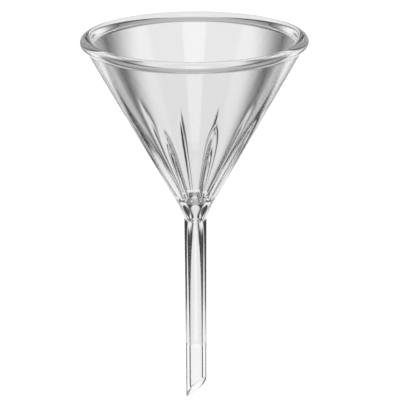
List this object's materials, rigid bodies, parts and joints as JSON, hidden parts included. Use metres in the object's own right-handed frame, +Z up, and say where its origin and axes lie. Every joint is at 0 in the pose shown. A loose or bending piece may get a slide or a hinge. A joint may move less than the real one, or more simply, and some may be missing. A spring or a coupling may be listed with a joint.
{
  "type": "filter funnel",
  "caption": "Clear glass funnel with a beaded rim, tapering ribs inside its cone, and a heavy-walled stem with a bevelled tip.",
  "frame": {"origin": "on the funnel's axis, in the level plane where the outside of the cone measures 60 mm across and a support ring carries it", "axes": "+Z up along the axis from the stem towards the rim; the bevelled tip's cut face looks down towards +X and -Y"},
  "size_m": [0.1, 0.1, 0.1711],
  "materials": {
    "clear_glass": "clear, fire polished"
  },
  "bodies": {
    "root": {"rim_bead": "clear_glass", "ribbed_bowl": "clear_glass", "neck_weld": "clear_glass", "stem": "clear_glass"}
  },
  "joints": []
}
